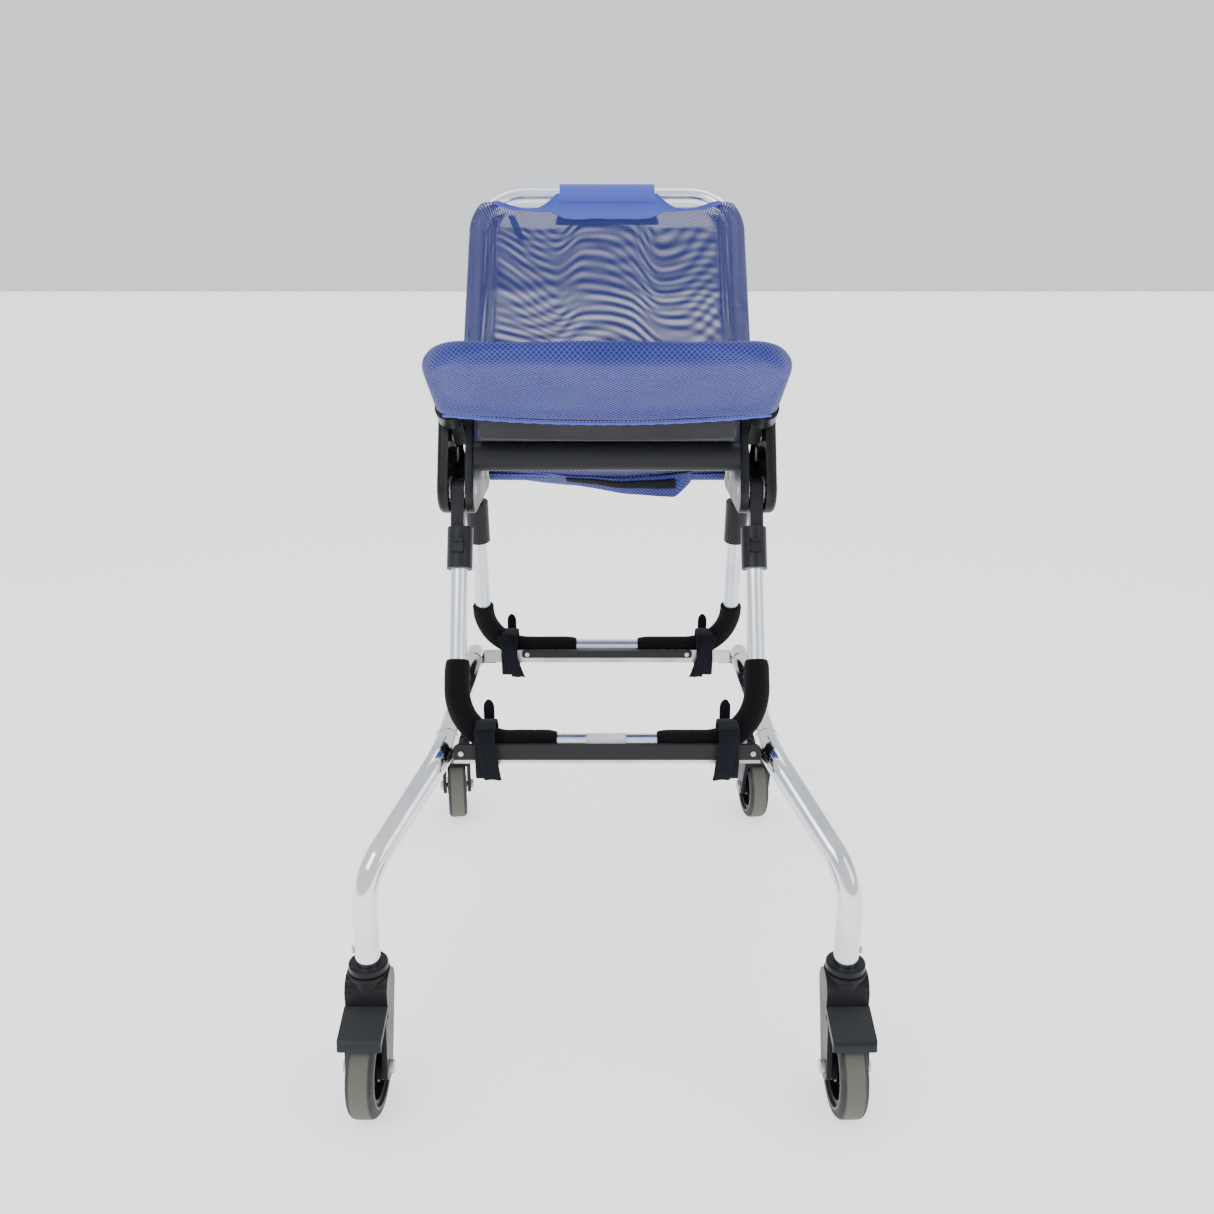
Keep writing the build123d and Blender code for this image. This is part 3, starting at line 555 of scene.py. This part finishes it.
# ---- straps -----------------------------------------------------------------------------------
def ribbon(name, path, half, material, thickness, side, lean=0.0, shift=0.0, turn=0.0, fray=0.0):
    """Webbing along a (y, z) path, half wide in X around the strap's place; lean tilts it in X with z."""
    low_z = min(z for _, z in path)
    rows = []
    for i, (y, z) in enumerate(path):
        centre = side * (127.0 + shift) + side * lean * (z - low_z)
        row = []
        for k in range(9):
            t = k / 4 - 1
            ragged = fray * wobble(k * 5.0, i * 3.0, shift, 6, 1.7) if i in (0, len(path) - 1) else 0.0
            x = centre + t * half + 0.4 * wobble(i * 6, k, side * 9, 20)
            row.append((x, y + turn * t * side, z + ragged + 0.25 * wobble(x, y, z, 14, 4)))
        rows.append(row)
    obj = grid(name, rows, material)
    return thick(obj, thickness, 1)


def strap(kind, side, node, run, lean_rear):
    """One strap: a loop round the foam and the rail, a second layer over its front, and a pull tab."""
    y, z = run
    word = "left" if side < 0 else "right"
    front, rear = y - 22.9, y + 20.0 + lean_rear
    low, top = z - 30.2, z + 25.0
    path = catmull([(front - 0.4, top - 9), (front - 0.9, z), (front + 0.2, low + 2.5), (front + 6, low - 0.6),
                    (y, low - 0.9), (rear - 6, low - 0.2), (rear - 0.6, low + 4), (rear, z - 4),
                    (rear - 1.5, z + 9), (rear - 9, top - 5.5), (y + 2, top - 1), (y - 9, top - 1.2),
                    (front + 3.0, top - 4), (front + 0.8, top - 12)], 5)
    loop = ribbon(f"strap_{kind}_{word}", path, 10.6, M_WEB, 1.9, side, 0.0, 0.0)
    if kind == "front":
        over = catmull([(front - 0.4, top - 3), (front - 2.6, z + 12), (front - 3.0, z - 10),
                        (front - 2.8, low + 6), (front - 2.0, low - 1.5)], 6)
        layer = ribbon("strap_end_front_" + word, over, 9.4, M_WEB, 1.7, side, 0.13, -7.5, 0.8, 2.2)
    else:
        over = catmull([(front - 0.4, top - 3), (front - 2.6, z + 10), (front - 3.2, z - 8),
                        (front - 3.4, low + 4), (front - 3.0, low - 3)], 6)
        layer = ribbon("strap_end_rear_" + word, over, 8.6, M_WEB, 1.7, side, 0.34, -11.5, 0.6, 3.0)
    tab_y = rear + 3.6
    tab = []
    for i in range(13):
        t = i / 12
        h = z - 14 + 52 * t
        w = 6.0 * math.sqrt(max(0.03, 1 - max(0.0, (t - 0.86) / 0.14) ** 2))
        tab.append([(side * 127.0 + w * (k / 3 - 1), tab_y + 0.8 * math.sin(3 * t), h) for k in range(7)])
    flag = grid(f"strap_tab_{kind}_{word}", tab, M_WEB)
    thick(flag, 2.6, 1)
    for piece in (loop, layer, flag):
        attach(piece, "trolley")
        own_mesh(piece)
    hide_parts(node)


FRONT_RUN = (-163.0, 346.0)
REAR_RUN = (137.0, 346.0)
for side, word in ((-1, "left"), (1, "right")):
    strap("front", side, "front_strap_" + word, FRONT_RUN, 4.0)
    strap("rear", side, "rear_strap_" + word, REAR_RUN, 0.0)


# ---- seat nose --------------------------------------------------------------------------------
NOSE_REAR, NOSE_FRONT = 79.0, 210.0
NOSE_HALF = 180.0
CORNER = 47.0
HEM_DIP = 20.0


def inflate(obj, pressure, cap, pins):
    """A short cloth simulation; no point moves further than cap millimetres."""
    start = np.array([v.co for v in obj.data.vertices])
    group = obj.vertex_groups.new(name="pins")
    group.add([int(i) for i in pins], 1.0, "REPLACE")
    mod = obj.modifiers.new("Cloth", "CLOTH")
    s = mod.settings
    s.quality = 5
    s.use_pressure = True
    s.uniform_pressure_force = pressure
    s.vertex_group_mass = "pins"
    s.tension_stiffness = s.compression_stiffness = 12
    s.bending_stiffness = 0.6
    s.effector_weights.gravity = 0
    mod.collision_settings.use_collision = False
    scene = bpy.context.scene
    for f in range(1, 21):
        scene.frame_set(f)
    done = obj.evaluated_get(bpy.context.evaluated_depsgraph_get())
    end = np.array([v.co for v in done.data.vertices])
    obj.modifiers.clear()
    scene.frame_set(1)
    move = end - start
    size = np.linalg.norm(move, axis=1, keepdims=True)
    move *= np.minimum(1.0, cap * MM / np.maximum(size, 1e-9))
    obj.data.vertices.foreach_set("co", (start + move).astype(np.float32).ravel())
    obj.data.update()


def nose_loop(x, k=22):
    """The nose's section at x, from the hem along the bottom, round the front and back on top."""
    ax = abs(x)
    over = max(0.0, ax - (NOSE_HALF - CORNER))
    front = NOSE_FRONT - CORNER + math.sqrt(max(CORNER ** 2 - over ** 2, 1.0))
    fat = math.sqrt(max(0.0, 1 - max(0.0, (ax - LOOP_X + 1) / 13.2) ** 2))
    dip = 1 - (x / 168) ** 2 if ax < 168 else 0.0
    bottom, top = [], []
    for i in range(k):
        t = i / (k - 1)
        share = math.sin(t * math.pi / 2) ** 0.86
        low_rear = NOSE_REAR - HEM_DIP * dip
        for line, rear in ((bottom, low_rear), (top, NOSE_REAR)):
            u = rear + (front - rear) * share
            round_it = math.sqrt(max(0.0, 1 - max(0.0, (u - front + 17) / 17) ** 2))
            back = 1 - smooth((u - rear) / 80)
            if line is bottom:
                ripple = 1.0 * wobble(x, u, 0, 70, 5) * dip
                v = (-14.8 - 2.0 * dip + 3.0 * dip * back) * round_it * fat + ripple
            else:
                v = (12.6 - 7.0 * dip * back) * round_it * fat
            line.append((u, v))
    return [seat_point(x, u, v) for u, v in bottom] + [seat_point(x, u, v) for u, v in reversed(top[:-1])]


stations = list(np.linspace(-150, 150, 51)) + [155, 160, 165, 169, 172, 174.5, 176.7, 178.5, 179.7]
stations = [-s for s in stations[:50:-1]] + stations
nose_rows = [nose_loop(x) for x in stations]
nose = grid("seat_nose", nose_rows, M_NOSE, ring=True, caps=True)
per = len(nose_rows[0])
pinned = [i * per + j for i in range(len(nose_rows)) for j in (0, 1, per - 1)]
pinned += list(range(per * 3)) + list(range(per * (len(nose_rows) - 3), per * len(nose_rows)))
inflate(nose, 1.2, 3.0, sorted(set(pinned)))
settle(nose, ("SUBSURF", {"levels": 1, "render_levels": 1}))
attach(nose, "seat")
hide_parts("seat_cover")

hem_line = [(x, 81.0 - HEM_DIP * max(0.0, 1 - (x / 168) ** 2), -13.9 + 0.6 * (x / 168) ** 2)
            for x in np.linspace(-172, 172, 70)]
hem_centres = [seat_point(*p) for p in hem_line]
hem = ring_tube("seat_nose_hem", hem_centres,
                [lambda a, i=i: 2.3 + 0.4 * math.sin(i * 1.9) for i in range(len(hem_centres))], M_KNIT, 10)
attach(hem, "seat")
stitch_places = []
for x in np.linspace(-166, 166, 84):
    u = 87.5 - HEM_DIP * (1 - (x / 168) ** 2)
    below = Vector(seat_point(0, 0, -1)) - Vector(seat_point(0, 0, 0))
    stitch_places.append((seat_point(x, u, -15.0 + 0.3 * (x / 168) ** 2), (1, 0, 0), below))
hem_stitches = beads("seat_nose_stitches", stitch_places, M_THREAD, 2.6, 0.42)
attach(hem_stitches, "seat")


# ---- back cover -------------------------------------------------------------------------------
def tube_gap(x, w):
    """Distance in the back's plane from the centre line of its loop tube."""
    ax = abs(x)
    if w < BACK_TOP - BACK_BEND:
        return abs(ax - LOOP_X)
    if ax < LOOP_X - BACK_BEND:
        return abs(w - BACK_TOP)
    return abs(math.hypot(ax - LOOP_X + BACK_BEND, w - BACK_TOP + BACK_BEND) - BACK_BEND)


POCKET_R = 12.4
SEAM_X = 144.0
COVER_TOP = 388.0
COVER_FOOT = 79.0


def half_gap(x, w):
    """Half of the space between the two layers."""
    h = POCKET_R * math.exp(-(max(0.0, tube_gap(x, w) - 6) / 12.5) ** 2)
    seam = math.exp(-((abs(x) - SEAM_X) / 2.2) ** 2) * smooth((372 - w) / 20)
    return max(1.0, h * (1 - 0.8 * seam)) + 0.6


def sag(x, w):
    inside = max(0.0, 1 - (x / 150) ** 2)
    hollow = -6.5 * inside * smooth((w - 60) / 90) * smooth((420 - w) / 110)
    return hollow + 0.8 * wobble(x, w, 0, 60, 2) * inside


def sleeve_row(w):
    """One row of the front layer, wrapped round both pockets to the rear seams."""
    inner = max(0.0, w - (BACK_TOP - BACK_BEND))
    slant = math.sqrt(BACK_BEND ** 2 - inner ** 2) / BACK_BEND
    cx = LOOP_X - BACK_BEND + BACK_BEND * slant
    scale = cx / LOOP_X
    side = []
    for x in list(np.linspace(SEAM_X - 2, LOOP_X, 6)):
        side.append((x * scale, -half_gap(x * scale, w)))
    for a in np.linspace(-80, 80, 11):
        r = math.radians(a)
        side.append((cx + POCKET_R / slant * math.cos(r) * 1.04, (POCKET_R + 0.6) * math.sin(r)))
    front = [(x * scale, None) for x in list(np.linspace(LOOP_X, SEAM_X, 8)) + list(np.linspace(140, 4, 35))]
    half = side + [(x, half_gap(x, w) + sag(x, w)) for x, _ in front]
    return [back_point(x, w, v) for x, v in half] + [back_point(0, w, half_gap(0, w) + sag(0, w))] + [
        back_point(-x, w, v) for x, v in reversed(half)]


sleeve_levels = list(np.linspace(COVER_FOOT, 340, 66)) + list(np.linspace(343, COVER_TOP, 16))
sleeve_rows = [sleeve_row(w) for w in sleeve_levels]
cover = grid("back_cover_front", sleeve_rows, M_BACK)
thick(cover, 0.5)
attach(cover, "back")
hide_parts("back_cover")

rear_rows = []
for w in np.linspace(COVER_FOOT, 364, 70):
    row = []
    for x in np.linspace(-SEAM_X - 2, SEAM_X + 2, 66):
        top = 362 + 9 * smooth((70 - abs(x)) / 40)
        ww = COVER_FOOT + (w - COVER_FOOT) * (top - COVER_FOOT) / (364 - COVER_FOOT)
        row.append(back_point(x, ww, sag(x, ww) * 1.25 - half_gap(x, ww) - 1.6))
    rear_rows.append(row)
rear_panel = grid("back_cover_rear", rear_rows, M_BACK_REAR)
thick(rear_panel, 0.5)
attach(rear_panel, "back")

# A close-knit yoke along the top of the front layer; it ends in the flap over the top tube.
FLAP_HALF = 64.0


def yoke_top(x):
    """Upper edge of the cover: high in the middle, scooped out beside the flap."""
    scoop = 1 - smooth((abs(x) - FLAP_HALF) / 30) ** 0.55 if abs(x) > FLAP_HALF else 1.0
    return COVER_TOP + 14.0 * scoop - 2.2 * math.exp(-((abs(x) - 104) / 16) ** 2)


def yoke_foot(x):
    return 371.0 + 12.0 * smooth((abs(x) - 54) / 26) + 1.2 * wobble(x, 0, 0, 25, 9)


yoke_rows = []
for t in np.linspace(0, 1, 16):
    row = []
    for x in np.linspace(-150, 150, 101):
        w = yoke_foot(x) + (yoke_top(x) - yoke_foot(x)) * t
        row.append(back_point(x, w, half_gap(x, w) + sag(x, w) + 0.8))
    yoke_rows.append(row)
yoke = grid("back_cover_yoke", yoke_rows, M_KNIT)
thick(yoke, 0.7)
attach(yoke, "back")

flap_line = [(392, half_gap(0, 392) + 0.9), (398, half_gap(0, 398) + 0.9)]
flap_line += [(BACK_TOP + 13.1 * math.cos(a), 13.1 * math.sin(a)) for a in np.linspace(2.0, -1.9, 15)]
flap_line += [(398, -11.4), (388, -8.0), (376, -6.4), (366, -6.0)]
flap_rows = []
for w, v in catmull(flap_line, 3):
    half = FLAP_HALF - 1 + (6 * (1 - smooth((w - 366) / 30)) if v < 0 else 1.5 * smooth((402 - w) / 8))
    flap_rows.append([back_point(half * t, w, v + 0.35 * wobble(half * t, w, v, 26, 6))
                      for t in np.linspace(-1, 1, 45)])
flap = grid("back_cover_flap", flap_rows, M_KNIT)
thick(flap, 0.9, 1)
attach(flap, "back")

# A narrow tie behind one top corner.
tie_rows = [[back_point(-128 + 5 * k + 16 * t, 386 - 44 * t, -11.5 + 3 * t) for k in (-1, -0.5, 0, 0.5, 1)]
            for t in np.linspace(0, 1, 12)]
tie = thick(grid("back_cover_tie", tie_rows, M_KNIT), 1.2, 1)
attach(tie, "back")

# Edge bindings and seam stitches.
normal = Vector(back_point(0, 0, 1)) - Vector(back_point(0, 0, 0))
up = Vector(back_point(0, 1, 0)) - Vector(back_point(0, 0, 0))
seam_places = []
for side in (-1, 1):
    for w in np.arange(92, 372, 4.6):
        x = side * (SEAM_X - 0.5)
        seam_places.append((back_point(x, w, half_gap(x, w) + sag(x, w) + 0.5), up, normal))
seams = beads("back_cover_stitches", seam_places, M_THREAD, 2.8, 0.45)
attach(seams, "back")
for side, word in ((-1, "left"), (1, "right")):
    edge = []
    for x in np.linspace(FLAP_HALF + 1, 149, 40):
        w = yoke_top(x) - 0.3
        edge.append(back_point(side * x, w, half_gap(x, w) + sag(x, w) + 0.5))
    piping = ring_tube("back_cover_edge_" + word, edge, [1.3] * len(edge), M_KNIT, 8)
    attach(piping, "back")


# ---- sling ------------------------------------------------------------------------------------
def hammock(name, line, half, material, droop, curl, thickness, ends=(1.0, 1.0)):
    """A sheet along a (y, z) line, hanging lower in its middle and curled up at its sides."""
    rows = []
    curve = catmull(line, 8)
    for i, (y, z) in enumerate(curve):
        s = i / (len(curve) - 1)
        loose = math.sin(math.pi * s) ** 0.7 if 0 < s < 1 else 0.0
        width = half * (ends[0] + (ends[1] - ends[0]) * s)
        row = []
        for t in np.linspace(-1, 1, 49):
            x = width * t
            row.append((x, y, z - droop * loose * (1 - t * t) + curl * loose * abs(t) ** 2.6
                        + 0.9 * wobble(x, y, z, 45, 7) * loose))
        rows.append(row)
    return thick(grid(name, rows, material), thickness, 0)


lead = hammock("seat_cloth_front", [seat_point(0, 96, 9)[1:], seat_point(0, 80, 6)[1:], (-46, 672), (-30, 655),
                                    (-8, 634), (16, 608), (40, 588)], 137, M_SLING, 3, 14, 1.2)
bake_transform(lead)
hips = hammock("seat_cloth_rear", [(28, 597), (48, 582), (68, 578), (88, 585), (106, 606), (124, 634),
                                   back_point(0, 86, -1)[1:], back_point(0, 100, -1)[1:]], 137, M_SLING, 2, 24, 1.2)
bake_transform(hips)
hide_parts("sling")
# Painted shade: a black sheet under the seat's front stands in for the shadow beneath the seat.
under = hammock("seat_under_shade", [seat_point(0, 84, -11)[1:], seat_point(0, 66, -11.5)[1:], (-55, 661), (-49, 650),
                                   (-37, 646.3)], 137, M_UNDER_SHADE, 1.0, 3, 1.0)
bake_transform(under)

# The tail of the cloth hangs under the bar, with a hook-and-loop strip along its upper edge.
tail_rows = []
for i in range(15):
    s = i / 14
    row = []
    for t in np.linspace(0, 1, 41):
        x = -84 + 182 * t
        drop = 5 + 24 * t ** 1.3 if t < 0.9 else 26.0 - 160 * (t - 0.9)
        y = 24 + 17 * s + 3 * math.sin(5 * t)
        top = 601 - 8 * math.sin(math.pi * t)
        row.append((x, y, top - drop * s ** 0.9 - 5 * s + 1.2 * wobble(x, y, 0, 30, 3)))
    tail_rows.append(row)
tail = thick(grid("seat_cloth_tail", tail_rows, M_SLING), 1.2, 1)
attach(tail, "chair")
strip_rows = []
for row in (tail_rows[2], tail_rows[4], tail_rows[6], tail_rows[8]):
    strip_rows.append([(x, y - 1.6, z - 0.6) for x, y, z in row[8:37]])
strip = thick(grid("tail_strip", strip_rows, M_WEB), 1.6, 1)
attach(strip, "chair")


# ---- small rigid details ----------------------------------------------------------------------
def collar_ring(name, centre, axis, radius, width, material, body):
    a = Vector(axis).normalized()
    centres = [Vector(centre) + a * width * t for t in (-0.5, -0.3, 0.3, 0.5)]
    piece = ring_tube(name, centres, [radius - 0.6, radius, radius, radius - 0.6], material, 40)
    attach(piece, body)


for side, word in ((-1, "left"), (1, "right")):
    for kind, y in (("front", -128.0), ("rear", 112.0)):
        collar_ring(f"weld_{kind}_{word}", (side * 175.0, y, 334.0), (0, 1, 0), 13.3, 3.0,
                    M_CHROME, "trolley")

label_rows = []
for x in np.linspace(-22, 20, 12):
    row = []
    for a in np.linspace(-0.5, 1.9, 14):
        centre = leg_point(FRONT_LEG, x, 275.0, 0)
        row.append((x, centre[1] - 9.7 * math.cos(a), centre[2] + 9.7 * math.sin(a)))
    label_rows.append(row)
label = thick(grid("blank_label", label_rows, M_LABEL), 0.15)
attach(label, "front_leg")


# ---- stage, light and camera ------------------------------------------------------------------
def stage_plane(name, corners, material):
    obj = new_object(name, corners, [(0, 1, 2, 3)], material)
    obj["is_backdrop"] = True
    return obj


stage_nodes = Nodes("pale_floor", Roughness=0.9, Specular_IOR_Level=0.1,
                    Emission_Color=(1, 1, 1, 1), Emission_Strength=1.0)
cloudy = stage_nodes.noise(stage_nodes.place(), 0.8, 2)
M_FLOOR = stage_nodes.finish(stage_nodes.mix(cloudy, (0.86, 0.86, 0.86), (0.88, 0.88, 0.88)))
FLOOR_HALF = 30000
stage_plane("floor", [(-FLOOR_HALF, -FLOOR_HALF, 0), (FLOOR_HALF, -FLOOR_HALF, 0),
                      (FLOOR_HALF, FLOOR_HALF, 0), (-FLOOR_HALF, FLOOR_HALF, 0)], M_FLOOR)

world = bpy.data.worlds.new("studio")
bpy.context.scene.world = world
world.use_nodes = True
world.node_tree.nodes["Background"].inputs[0].default_value = (0.93, 0.96, 1.0, 1.0)
world.node_tree.nodes["Background"].inputs[1].default_value = 1.15


def soft_light(name, place, aim, size, power, color=(1, 1, 1)):
    data = bpy.data.lights.new(name, "AREA")
    data.shape = "RECTANGLE"
    data.size, data.size_y = size
    data.energy = power
    data.color = color
    obj = bpy.data.objects.new(name, data)
    obj.location = place
    obj.rotation_mode = "QUATERNION"
    obj.rotation_quaternion = (Vector(aim) - Vector(place)).to_track_quat("-Z", "Y")
    bpy.context.scene.collection.objects.link(obj)


soft_light("key", (-1.3, -1.9, 2.4), (0, 0, 0.5), (1.6, 1.2), 22)
soft_light("fill", (2.0, -1.4, 1.5), (0, 0, 0.5), (1.2, 1.6), 9)
soft_light("top", (0, 0.4, 2.8), (0, 0, 0.4), (2.2, 1.4), 16)

SENSOR_MM = 36.0
FOCAL_MM = 32.26359
EYE_PLACE = (0.0, -1.2275, 0.833)
EYE_DOWN_DEG = 17.7

camera = bpy.data.cameras.new("camera")
camera.sensor_width = SENSOR_MM
camera.lens = FOCAL_MM
camera.clip_start, camera.clip_end = 0.05, 100
eye = bpy.data.objects.new("camera", camera)
eye.location = EYE_PLACE
eye.rotation_euler = (math.radians(90 - EYE_DOWN_DEG), 0, 0)
bpy.context.scene.collection.objects.link(eye)
bpy.context.scene.camera = eye

low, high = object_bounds()
